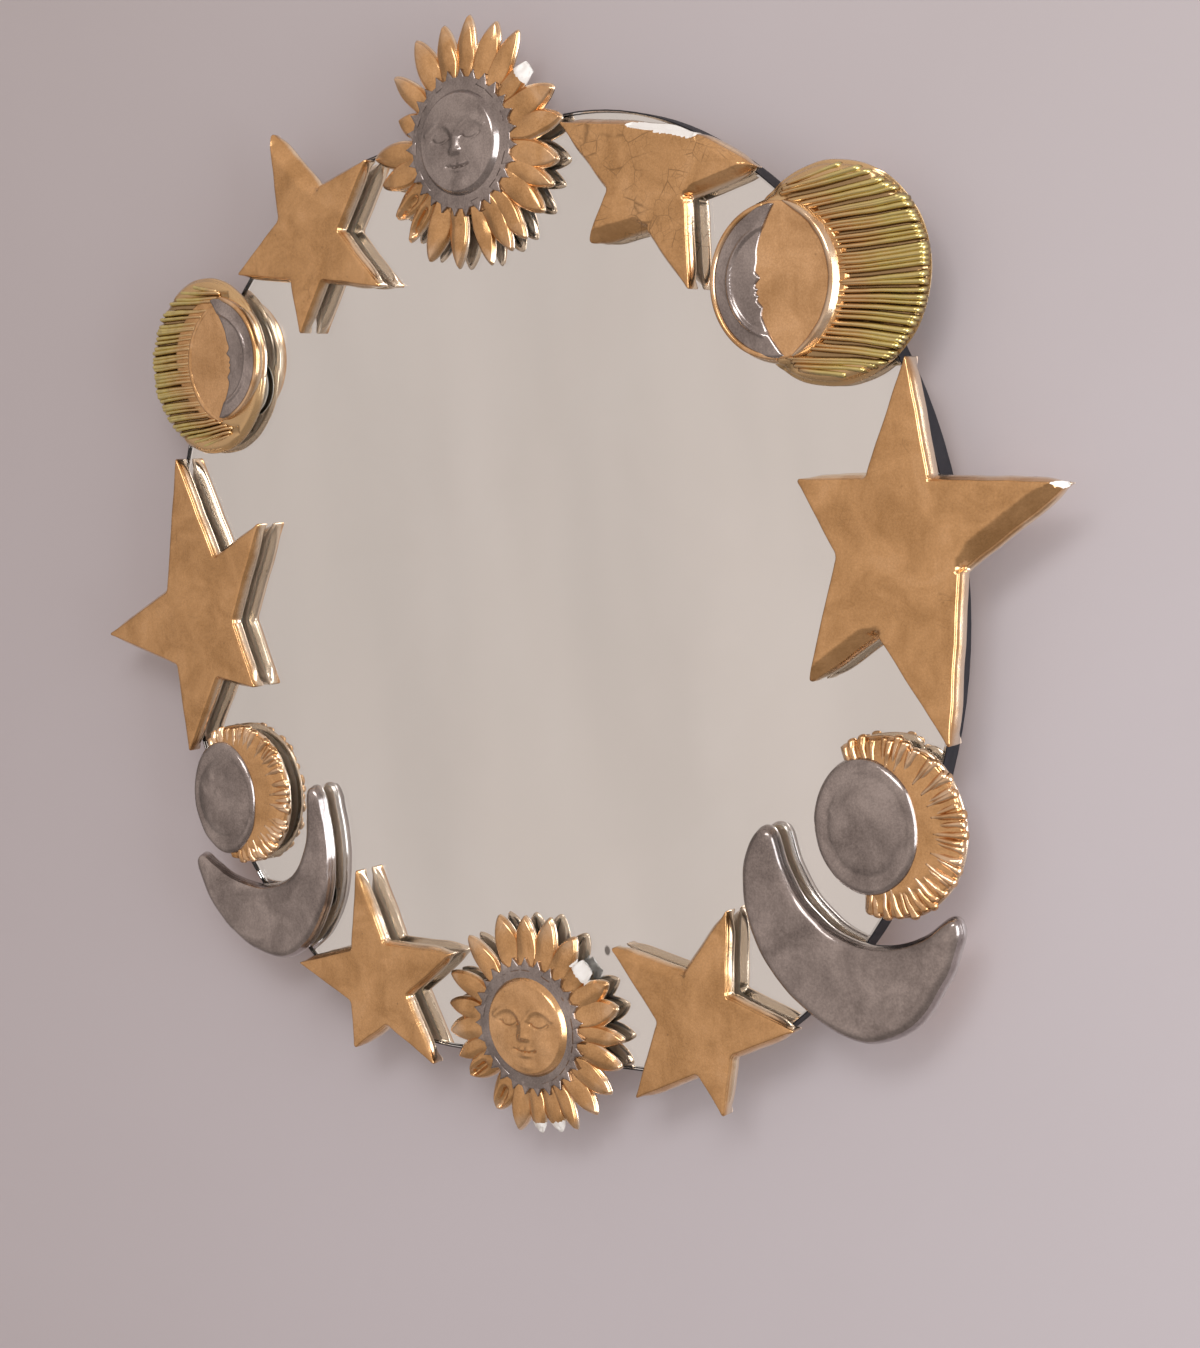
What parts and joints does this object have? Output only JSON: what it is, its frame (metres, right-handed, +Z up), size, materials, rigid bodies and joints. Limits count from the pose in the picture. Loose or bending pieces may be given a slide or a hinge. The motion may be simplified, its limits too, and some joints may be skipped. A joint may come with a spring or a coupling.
{
  "type": "wall mirror with ceramic sun, moon and star ornaments",
  "caption": "Round wall mirror on a black-edged board, its rim set with gold and silver lustre ceramic suns, moons and stars, hung by a swinging D-ring at the back.",
  "frame": {"origin": "inside top of the hanger's ring, where a wall hook carries the mirror", "axes": "+X to the viewer's right, +Y out of the back towards the wall, +Z up; the glass faces -Y"},
  "size_m": [0.7358, 0.0423, 0.6765],
  "materials": {
    "gold_lustre": "gold lustre over a glossy glaze",
    "silver_lustre": "silver lustre over a glossy glaze",
    "clear_glass": "polished float glass",
    "silvering": "mirror silvering with backing paint",
    "board": "raw fibreboard",
    "edging": "black satin edging",
    "mastic": "cured mastic",
    "glue": "clear cured silicone",
    "steel": "zinc plated",
    "bumper": "black rubber"
  },
  "bodies": {
    "mirror": {"mirror_glass": "clear_glass", "mirror_coat": "silvering", "mirror_mastic": "mastic", "backing_board": "board", "edge_band": "edging", "ornament_glue": "glue", "hanger_strap": "steel", "hanger_screws": "steel", "wall_bumpers": "bumper", "sun_top": "gold_lustre", "sun_bottom": "gold_lustre", "star_left": "gold_lustre", "star_right": "gold_lustre", "star_upper_left": "gold_lustre", "star_upper_right": "gold_lustre", "star_lower_left": "gold_lustre", "star_lower_right": "gold_lustre", "eclipse_left": "gold_lustre", "eclipse_right": "gold_lustre", "moon_left": "silver_lustre", "moon_right": "silver_lustre", "crescent_left": "silver_lustre", "crescent_right": "silver_lustre"},
    "ring": {"hanger_ring": "steel"}
  },
  "joints": [
    {"name": "ring_swing", "type": "hinge", "parent": "mirror", "child": "ring", "pos_m": [0, 0.00119, -0.01696], "axis": [-1, 0, 0], "range_deg": [0, 175]}
  ]
}
